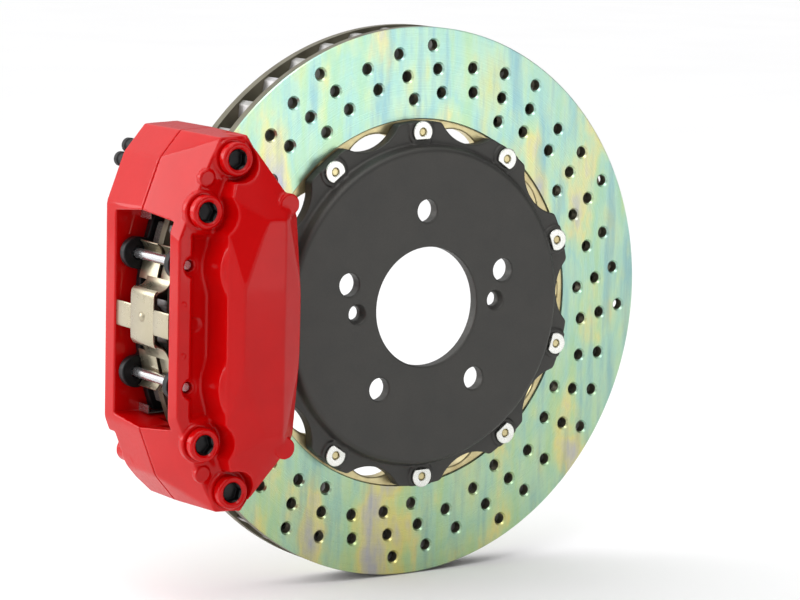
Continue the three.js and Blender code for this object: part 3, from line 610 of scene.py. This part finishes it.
def add_bleeders():
    low = DISC_CENTRE_Y + CAP_SEAT_H
    for i, (x, z) in enumerate(BLEEDERS):
        cap = lathe(f"bleeder_cap_{i + 1}", [
            (2.9, low), (4.3, low), (4.7, low + 0.5), (4.7, low + 2.4),
            (4.0, low + 3.2), (4.0, low + 6.0), (4.7, low + 6.8), (4.6, low + 10.2),
            (3.4, low + 11.4), (0.01, low + 11.6), (0.01, low + 7.7), (2.9, low + 7.7),
        ], 32)
        move_mesh(cap, (x, 0, z))
        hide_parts(f"bleed_cap_{i + 1}")
        finish_piece(cap, RUBBER, "caliper")


# ---- disc ----
OUTBOARD_FACE_Y, OUTBOARD_VENT_Y = 8, 14.6
INBOARD_FACE_Y, INBOARD_VENT_Y = 36, 29.4
HOLE_LINES = ((161.3, 5.2, 3), (151.7, 17.2, 2), (156.4, 26.2, 3))
HOLE_PITCH, HOLE_SLANT_DEG = 14.4, 2.03
HOLE_RADIUS, COUNTERSINK_RADIUS = 3.4, 4.45
RIM_SIDES = 288
HOLE_SIDES = 28
VANE_COUNT = 48
VANE_INNER_RADIUS, VANE_LENGTH = 118.5, 52.8
VANE_SWEEP_DEG = 18
VANE_LOW_Y, VANE_HIGH_Y = 14.4, 29.6
FLANGE_RADIUS = 114.5
CENTRE_BORE_RADIUS = 37.4


def polar(radius, degrees):
    """(x, z) at an angle clockwise from the top, seen from the wheel side."""
    turn = math.radians(degrees)
    return radius * math.sin(turn), radius * math.cos(turn)


def lug_turn(i):
    return DISC_CLOCK_DEG + 36 * i


def drilled_holes():
    """Centres of the drilled holes: three lines in each twelfth of the ring, slanted inwards."""
    places = []
    for period in range(12):
        for radius, start, count in HOLE_LINES:
            for i in range(count):
                turn = DISC_CLOCK_DEG + start + 30 * period + HOLE_SLANT_DEG * i
                places.append(polar(radius - HOLE_PITCH * i, turn))
    return places


def circle(centre, radius, count):
    return [(centre[0] + radius * math.cos(2 * math.pi * i / count),
             centre[1] + radius * math.sin(2 * math.pi * i / count)) for i in range(count)]


def flat_ring(outer, inner, hole_radius):
    """Points and triangles of a flat ring with its drilled holes open: rims first, then holes."""
    loops = [circle((0, 0), outer, RIM_SIDES), circle((0, 0), inner, RIM_SIDES)]
    loops += [circle(centre, hole_radius, HOLE_SIDES) for centre in drilled_holes()]
    points = []
    edges = []
    for loop in loops:
        start = len(points)
        points += loop
        edges += [(start + i, start + (i + 1) % len(loop)) for i in range(len(loop))]
    done = geometry.delaunay_2d_cdt([Vector(p) for p in points], edges, [], 0, 1e-5)
    flat = np.array(done[0])
    faces = np.array([f for f in done[2] if len(f) == 3])
    middle = flat[faces].mean(axis=1)
    radius = np.hypot(*middle.T)
    keep = (radius < outer) & (radius > inner)
    for centre in drilled_holes():
        apart = np.hypot(middle[:, 0] - centre[0], middle[:, 1] - centre[1])
        keep &= apart > hole_radius * 0.99
    return points, faces[keep]


def friction_plate(name, rub_y, vent_y):
    """One friction plate: rubbed face with eased edges and countersunk holes, and vent face."""
    ease = math.copysign(0.6, vent_y - rub_y)
    sink = math.copysign(1.05, vent_y - rub_y)
    rub, rub_faces = flat_ring(RIM_RADIUS - 0.6, FRICTION_INNER_RADIUS, COUNTERSINK_RADIUS)
    vent, vent_faces = flat_ring(RIM_RADIUS, FRICTION_INNER_RADIUS - 0.5, HOLE_RADIUS)
    rings = [(rub, rub_y), (vent, rub_y + ease), (vent, vent_y)]
    points = [(x, y, z) for ring, y in rings for x, z in ring]
    size = len(rub)
    first_hole = 2 * RIM_SIDES
    for i in range(first_hole, size):
        x, _, z = points[size + i]
        points[size + i] = (x, rub_y + sink, z)
    faces = [tuple(f) for f in rub_faces] + [tuple(f + 2 * size) for f in vent_faces]
    loops = [(0, RIM_SIDES), (RIM_SIDES, RIM_SIDES)]
    loops += [(start, HOLE_SIDES) for start in range(first_hole, size, HOLE_SIDES)]
    for level in (0, 1):
        for start, count in loops:
            for i in range(count):
                base = level * size + start
                a, b = base + i, base + (i + 1) % count
                faces.append((a, b, b + size, a + size))
    plate = new_object(name, points, faces)
    bevel_edges(plate, 0)
    return plate


def vanes():
    """Curved vanes between the plates, their ends seen in the vent."""
    points = []
    faces = []
    steps = 7
    for i in range(VANE_COUNT):
        for j in range(steps):
            share = j / (steps - 1)
            radius = VANE_INNER_RADIUS + share * VANE_LENGTH
            turn = i * 360 / VANE_COUNT + VANE_SWEEP_DEG * share
            half = math.degrees(2.4 / radius) * (1 - 0.2 * abs(2 * share - 1) ** 3)
            for y in (VANE_LOW_Y, VANE_HIGH_Y):
                points += [(*polar(radius, turn - half), y), (*polar(radius, turn + half), y)]
        base = 4 * steps * i
        for j in range(steps - 1):
            a = base + 4 * j
            for p, q in ((0, 1), (1, 3), (3, 2), (2, 0)):
                faces.append((a + p, a + q, a + q + 4, a + p + 4))
        faces.append((base, base + 1, base + 3, base + 2))
        end = base + 4 * (steps - 1)
        faces.append((end, end + 1, end + 3, end + 2))
    obj = new_object("vent_vanes", [(x, y, z) for x, z, y in points], faces)
    bevel_edges(obj, 0.5)
    return obj


def folded(x, z, offset=0.0):
    """Points turned into the tenth of the disc round one lug, as (out, across)."""
    turn = np.degrees(np.arctan2(x, z)) - DISC_CLOCK_DEG - offset
    turn = np.radians((turn + 18) % 36 - 18)
    radius = np.hypot(x, z)
    return radius * np.cos(turn), radius * np.sin(turn)


def lug_flange(x, y, z):
    """The ring's inner flange: scalloped, with a radial slot for each bobbin."""
    radius = np.hypot(x, z)
    flange = crossed(radius - (FRICTION_INNER_RADIUS + 0.2), 101.5 - radius, 0.3)
    out, across = folded(x, z, 18)
    flange = carved(flange, np.hypot(out - 88, across) - 24, 2.0)
    out, across = folded(x, z)
    past = out - BOBBIN_CIRCLE_RADIUS
    slot = np.where(out > BOBBIN_CIRCLE_RADIUS, np.hypot(past, across), np.abs(across)) - 5.2
    flange = carved(flange, slot, 0.4)
    return crossed(flange, np.abs(y - 12.5) - 3.5, 0.4)


def bell_shape(x, y, z):
    """Hat with its flange, bobbin bosses, centre bore, stud holes and two countersunk screw holes."""
    radius = np.hypot(x, z)
    side = np.interp(y, (-8, 1, 8.2), (98.6, 101.4, 101.5))
    hat = crossed(radius - side, np.abs(y - 0.1) - 8.1, 2.6)
    out, across = folded(x, z)
    gap_out, gap_across = folded(x, z, 18)
    flange = crossed(radius - FLANGE_RADIUS, 90 - radius, 0.6)
    flange = carved(flange, np.hypot(gap_out - 132.5, gap_across) - 28, 1.6)
    flange = crossed(flange, np.abs(y - 4.1) - 4.1, 0.7)
    boss = bar(out, across, y, (BOBBIN_CIRCLE_RADIUS, 0), 9.3, -1.3, 5, 0.5)
    flange = joined(flange, np.maximum(boss, radius - FLANGE_RADIUS), 0.8)
    body = joined(hat, flange, 2.0)
    body = carved(body, bar(x, z, y, (0, 0), 91.5, 0, 20, 2.0), 0.8)
    body = carved(body, bar(out, across, y, (BOBBIN_CIRCLE_RADIUS, 0), 7.4, -20, -1.3, 0.3), 0.6)
    body = carved(body, bar(out, across, y, (BOBBIN_CIRCLE_RADIUS, 0), 5.1, -20, 20, 0.2), 0.3)
    body = carved(body, radius - CENTRE_BORE_RADIUS, 1.2)
    for i in range(STUD_COUNT):
        centre = polar(STUD_CIRCLE_RADIUS, DISC_CLOCK_DEG + 360 / STUD_COUNT * i)
        body = carved(body, np.hypot(x - centre[0], z - centre[1]) - 7.2, 0.9)
    for turn in (90, 270):
        centre = polar(51.5, DISC_CLOCK_DEG + turn)
        around = np.hypot(x - centre[0], z - centre[1])
        body = carved(body, around - 4.2, 0.3)
        body = carved(body, around - np.clip(6.4 - 0.5 * (y + 8), 4.0, 6.4), 0.6)
    return body


def bobbin(x, y, z):
    """Drive bobbin about the Y axis; its flat faces -X before it is turned to its lug."""
    head = bar(x, z, y, (0, 0), 6.8, -2.8, -1.6, 0.35)
    head = crossed(head, -4.6 - x, 0.3)
    body = joined(head, bar(x, z, y, (0, 0), 4.9, -1.8, 16.6, 0.3), 0.3)
    body = carved(body, bar(x, z, y, (0, 0), 2.6, -9, 20, 0.1), 0.5)
    return carved(body, bar(x, z, y, (0, 0), 3.3, -0.6, 20, 0.1), 0.1)


def add_disc():
    plates = [
        friction_plate("friction_plate_outboard", OUTBOARD_FACE_Y, OUTBOARD_VENT_Y),
        friction_plate("friction_plate_inboard", INBOARD_FACE_Y, INBOARD_VENT_Y),
    ]
    for plate in plates:
        plate.data.materials.append(FRICTION_FACE)
        plate.data.materials.append(VENT)
        for face in plate.data.polygons:
            faces_centre = (face.normal.y > 0) == (face.center.y < DISC_CENTRE_Y * MM)
            vent_side = abs(face.normal.y) > 0.9 and faces_centre
            face.material_index = 1 if vent_side or abs(face.normal.y) < 0.1 else 0
        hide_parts("rotor_ring")
        finish_piece(plate, None, "rotor")
    blades = vanes()
    points, faces = surface(lug_flange, (-118, 8, -118), (118, 17, 118), 0.85)
    flange = new_object("lug_flange", points, faces)
    for obj, look in ((blades, VANE), (flange, YELLOW_ZINC)):
        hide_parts("rotor_ring")
        finish_piece(obj, look, "rotor")
    points, faces = surface(bell_shape, (-116.5, -9.5, -116.5), (116.5, 9.5, 116.5), 0.8)
    hat = new_object("disc_bell", points, faces)
    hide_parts("bell")
    finish_piece(hat, ANODISED, "hub_bell")


def add_bobbins():
    points, faces = surface(bobbin, (-8, -4, -8), (8, 18, 8), 0.35)
    for i in range(LUG_COUNT):
        turn = Matrix.Rotation(math.radians(lug_turn(i) - 90), 3, "Y")
        x, z = polar(BOBBIN_CIRCLE_RADIUS, lug_turn(i))
        turned = points @ np.array(turn).T
        piece = new_object(f"drive_bobbin_{i + 1}", turned + (x, 0, z), faces)
        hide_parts(f"float_bobbin_{i + 1}")
        finish_piece(piece, BOBBIN_STEEL, "hub_bell")
        bolt = lathe(f"bobbin_screw_{i + 1}", [
            (0.01, -2.0), (1.8, -2.0), (2.4, -1.5), (2.9, -0.4), (2.9, 16.9),
            (6.2, 16.9), (6.6, 17.3), (6.6, 18.0), (5.0, 18.4), (5.0, 20.6),
            (4.5, 21.1), (2.6, 21.1), (2.4, 20.9), (2.4, 18.9), (0.01, 18.9),
        ], 32)
        move_mesh(bolt, (x, 0, z))
        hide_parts(f"bobbin_bolt_{i + 1}")
        finish_piece(bolt, YELLOW_ZINC, "hub_bell")


def finish_piece(obj, look, body):
    if look is not None:
        obj.data.materials.append(look)
    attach(obj, body)


# ---- materials ----
class Look:
    """Node material built by short calls; coordinates are the object's own, in metres."""

    def __init__(self, name, roughness=0.5, metallic=0.0, coat=0.0, coat_roughness=0.05):
        self.material = bpy.data.materials.new(name)
        self.material.use_nodes = True
        self.tree = self.material.node_tree
        self.shader = self.tree.nodes["Principled BSDF"]
        self.shader.inputs["Roughness"].default_value = roughness
        self.shader.inputs["Metallic"].default_value = metallic
        self.shader.inputs["Coat Weight"].default_value = coat
        self.shader.inputs["Coat Roughness"].default_value = coat_roughness
        self.place = self.tree.nodes.new("ShaderNodeTexCoord").outputs["Object"]

    def link(self, source, target):
        self.tree.links.new(source, target)

    def noise(self, scale, detail=4.0, stretch=(1, 1, 1), roughness=0.5):
        mapping = self.tree.nodes.new("ShaderNodeMapping")
        mapping.inputs["Scale"].default_value = stretch
        self.link(self.place, mapping.inputs["Vector"])
        texture = self.tree.nodes.new("ShaderNodeTexNoise")
        texture.inputs["Scale"].default_value = scale
        texture.inputs["Detail"].default_value = detail
        texture.inputs["Roughness"].default_value = roughness
        self.link(mapping.outputs["Vector"], texture.inputs["Vector"])
        return texture.outputs["Fac"]

    def ramp(self, source, stops):
        node = self.tree.nodes.new("ShaderNodeValToRGB")
        elements = node.color_ramp.elements
        elements[0].position, elements[0].color = stops[0][0], (*stops[0][1], 1)
        elements[1].position, elements[1].color = stops[-1][0], (*stops[-1][1], 1)
        for position, colour in stops[1:-1]:
            elements.new(position).color = (*colour, 1)
        self.link(source, node.inputs["Fac"])
        return node.outputs["Color"]

    def spread(self, source, low, high):
        """The middle of a noise, stretched to low..high."""
        node = self.tree.nodes.new("ShaderNodeMapRange")
        node.inputs["To Min"].default_value = low
        node.inputs["To Max"].default_value = high
        node.inputs["From Min"].default_value = 0.3
        node.inputs["From Max"].default_value = 0.7
        self.link(source, node.inputs["Value"])
        return node.outputs["Result"]

    def multiplied(self, first, second):
        """Product of two colours."""
        node = self.tree.nodes.new("ShaderNodeMix")
        node.data_type = "RGBA"
        node.blend_type = "MULTIPLY"
        node.inputs[0].default_value = 1.0
        self.link(first, node.inputs[6])
        self.link(second, node.inputs[7])
        return node.outputs[2]

    def rings(self, per_metre):
        """Fine turned grooves about the Y axis."""
        split = self.tree.nodes.new("ShaderNodeSeparateXYZ")
        self.link(self.place, split.inputs[0])
        flat = self.tree.nodes.new("ShaderNodeCombineXYZ")
        self.link(split.outputs["X"], flat.inputs["X"])
        self.link(split.outputs["Z"], flat.inputs["Y"])
        length = self.tree.nodes.new("ShaderNodeVectorMath")
        length.operation = "LENGTH"
        self.link(flat.outputs[0], length.inputs[0])
        texture = self.tree.nodes.new("ShaderNodeTexNoise")
        texture.noise_dimensions = "1D"
        texture.inputs["Scale"].default_value = per_metre
        texture.inputs["Detail"].default_value = 3
        self.link(length.outputs["Value"], texture.inputs["W"])
        return texture.outputs["Fac"]

    def bump(self, height, distance, strength):
        node = self.tree.nodes.new("ShaderNodeBump")
        node.inputs["Strength"].default_value = strength
        node.inputs["Distance"].default_value = distance
        self.link(height, node.inputs["Height"])
        self.link(node.outputs["Normal"], self.shader.inputs["Normal"])

    def colour(self, source):
        self.link(source, self.shader.inputs["Base Color"])

    def rough(self, source):
        self.link(source, self.shader.inputs["Roughness"])


def red_paint():
    look = Look("red_paint", coat=0.37, coat_roughness=0.03)
    look.shader.inputs["Specular IOR Level"].default_value = 0.05
    shades = [(0.3, (0.48, 0.0005, 0.0009)), (0.7, (0.53, 0.0008, 0.0014))]
    look.colour(look.ramp(look.noise(45), shades))
    look.rough(look.spread(look.noise(500), 0.3, 0.42))
    look.bump(look.noise(260, 3), 0.00005, 0.5)
    return look.material


def anodised():
    look = Look("anodised_bell", metallic=0.55)
    shades = [(0.35, (0.055, 0.054, 0.050)), (0.7, (0.061, 0.059, 0.054))]
    look.colour(look.ramp(look.noise(60), shades))
    look.rough(look.spread(look.noise(900, 6), 0.42, 0.56))
    look.bump(look.noise(2500, 3), 0.00002, 0.35)
    return look.material


def friction_face():
    """Zinc plate on a finely turned face: soft tinted clouds drawn out downwards, darker and yellower
    low down.
    """
    look = Look("friction_face", metallic=0.85)
    clouds = look.noise(1, 4, (26, 22, 11), 0.58)
    tints = look.ramp(clouds, [
        (0.30, (0.60, 0.66, 0.36)), (0.40, (0.48, 0.70, 0.54)), (0.48, (0.40, 0.66, 0.58)),
        (0.54, (0.50, 0.70, 0.50)), (0.60, (0.70, 0.70, 0.38)), (0.70, (0.48, 0.50, 0.66)),
    ])
    streaks = look.noise(1, 5, (130, 60, 13), 0.55)
    veil = look.ramp(streaks, [
        (0.34, (0.76, 0.80, 0.95)), (0.5, (1, 1, 1)), (0.66, (1, 0.98, 0.80)),
    ])
    # Colour darker and yellower towards the bottom of the disc.
    split = look.tree.nodes.new("ShaderNodeSeparateXYZ")
    look.link(look.place, split.inputs[0])
    height = look.tree.nodes.new("ShaderNodeMapRange")
    height.inputs["From Min"].default_value = -0.16
    height.inputs["From Max"].default_value = 0.12
    look.link(split.outputs["Z"], height.inputs["Value"])
    cast = look.ramp(height.outputs["Result"], [(0.0, (0.86, 0.80, 0.62)), (1.0, (1, 1, 1))])
    look.colour(look.multiplied(look.multiplied(tints, veil), cast))
    grooves = look.rings(2600)
    look.rough(look.spread(grooves, 0.26, 0.36))
    look.bump(grooves, 0.00003, 0.18)
    return look.material


def plain_metal(name, light, dark, low, high, metallic=0.9, grain=400, height=0.00003):
    look = Look(name, metallic=metallic)
    look.colour(look.ramp(look.noise(grain / 4), [(0.3, dark), (0.7, light)]))
    look.rough(look.spread(look.noise(grain, 5), low, high))
    look.bump(look.noise(grain * 2, 3), height, 0.4)
    return look.material


def rough_matter(name, light, dark, roughness, grain, height):
    look = Look(name, roughness=roughness)
    look.shader.inputs["Specular IOR Level"].default_value = 0.22
    look.colour(look.ramp(look.noise(grain, 8), [(0.35, dark), (0.65, light)]))
    look.rough(look.spread(look.noise(grain * 2), roughness - 0.1, min(roughness + 0.1, 1)))
    look.bump(look.noise(grain * 1.5, 6), height, 0.7)
    return look.material


RED_PAINT = red_paint()
ANODISED = anodised()
FRICTION_FACE = friction_face()
VENT = plain_metal(
    "vent_face", (0.21, 0.195, 0.14), (0.13, 0.12, 0.085), 0.4, 0.6, 0.7, 300, 0.0001,
)
VANE = plain_metal(
    "vane_metal", (0.50, 0.49, 0.50), (0.30, 0.30, 0.27), 0.35, 0.55, 0.6, 300, 0.0001,
)
YELLOW_ZINC = plain_metal("yellow_zinc", (0.72, 0.64, 0.36), (0.52, 0.43, 0.22), 0.28, 0.42)
BOBBIN_STEEL = plain_metal("bobbin_steel", (0.86, 0.86, 0.82), (0.70, 0.71, 0.66), 0.2, 0.34)
POLISHED_STEEL = plain_metal("polished_steel", (0.62, 0.62, 0.63), (0.5, 0.5, 0.51), 0.16, 0.28)
PISTON_METAL = plain_metal("piston_metal", (0.6, 0.6, 0.6), (0.45, 0.45, 0.46), 0.25, 0.4)
SPRING = plain_metal(
    "spring_zinc", (0.43, 0.385, 0.28), (0.37, 0.33, 0.235), 0.24, 0.36, grain=160,
)
BACKING = rough_matter(
    "backing_paint", (0.007, 0.007, 0.008), (0.004, 0.004, 0.0045), 0.42, 700, 0.00004,
)
LINING = rough_matter(
    "lining_compound", (0.16, 0.145, 0.13), (0.05, 0.046, 0.042), 0.85, 1400, 0.0002,
)
# Black zinc for its slot, and also the painted shade deep inside the bridge bolts' sockets.
BLACK_ZINC_AND_SOCKET_SHADE = plain_metal("black_zinc", (0.03, 0.03, 0.03), (0.015, 0.015, 0.016), 0.3, 0.45)
RUBBER = rough_matter(
    "cap_rubber", (0.022, 0.022, 0.024), (0.012, 0.012, 0.013), 0.55, 500, 0.00003,
)
SLOT_LOOKS = {
    "red_paint": RED_PAINT, "anodised_bell": ANODISED, "zinc_plated_iron": FRICTION_FACE,
    "yellow_zinc": YELLOW_ZINC, "bobbin_steel": BOBBIN_STEEL, "polished_steel": POLISHED_STEEL,
    "piston_metal": PISTON_METAL, "spring_steel": SPRING, "backing_plate": BACKING,
    "friction_material": LINING, "rubber": RUBBER, "black_zinc": BLACK_ZINC_AND_SOCKET_SHADE,
}


def dress_frame_nodes():
    """Each CAD node gets the look of its material slot; those replaced are hidden anyway."""
    slots = {part["node"]: part["material_slot"] for part in frame["record"]["subparts"]}
    for node, obj in frame["nodes"].items():
        for place in obj.material_slots:
            place.material = SLOT_LOOKS[slots[node]]


# ---- floor and light ----
def add_floor():
    size = 30.0
    mesh = bpy.data.meshes.new("floor")
    height = cad_box[0][2] - 0.0005
    corners = [(-size, -size), (size, -size), (size, size), (-size, size)]
    mesh.from_pydata([(x, y, height) for x, y in corners], [], [(0, 1, 2, 3)])
    floor = bpy.data.objects.new("floor", mesh)
    bpy.context.scene.collection.objects.link(floor)
    look = Look("floor_white", roughness=0.9)
    shades = [(0.3, (0.93, 0.93, 0.93)), (0.7, (0.95, 0.95, 0.95))]
    look.colour(look.ramp(look.noise(3), shades))
    floor.data.materials.append(look.material)


def add_light(name, place, aim, size, watts):
    data = bpy.data.lights.new(name, "AREA")
    data.shape = "RECTANGLE"
    data.size, data.size_y = size
    data.energy = watts
    light = bpy.data.objects.new(name, data)
    light.location = place
    light.visible_camera = False
    light.rotation_euler = (Vector(aim) - Vector(place)).to_track_quat("-Z", "Y").to_euler()
    bpy.context.scene.collection.objects.link(light)


def add_world():
    """Soft studio dome, brighter overhead than at its edge."""
    world = bpy.data.worlds.new("studio")
    bpy.context.scene.world = world
    world.use_nodes = True
    tree = world.node_tree
    background = tree.nodes["Background"]
    place = tree.nodes.new("ShaderNodeTexCoord")
    facing = tree.nodes.new("ShaderNodeVectorMath")
    facing.operation = "DOT_PRODUCT"
    facing.inputs[1].default_value = (-0.42, 0.25, 0.85)
    ramp = tree.nodes.new("ShaderNodeValToRGB")
    elements = ramp.color_ramp.elements
    elements[0].color = (0.10, 0.10, 0.105, 1)
    elements[1].color = (1, 1, 1, 1)
    elements.new(0.3).color = (0.42, 0.42, 0.43, 1)
    elements.new(0.65).color = (0.9, 0.9, 0.9, 1)
    tree.links.new(place.outputs["Generated"], facing.inputs[0])
    tree.links.new(facing.outputs["Value"], ramp.inputs["Fac"])
    tree.links.new(ramp.outputs["Color"], background.inputs["Color"])
    background.inputs["Strength"].default_value = 1.5


def add_lights():
    add_world()
    target = (-0.08, 0.0, 0.0)
    add_light("left_softbox", (-1.25, 1.0, 0.5), target, (1.1, 1.0), 11)
    add_light("top_softbox", (-0.3, -0.7, 1.3), target, (0.5, 0.5), 3)
    add_light("right_softbox", (0.62, -1.15, 0.05), target, (0.5, 0.6), 1.1)


dress_frame_nodes()
add_caliper()
add_pins()
add_spring()
add_bleeders()
add_disc()
add_bobbins()
add_floor()
add_lights()
bpy.context.scene.view_settings.view_transform = "Standard"
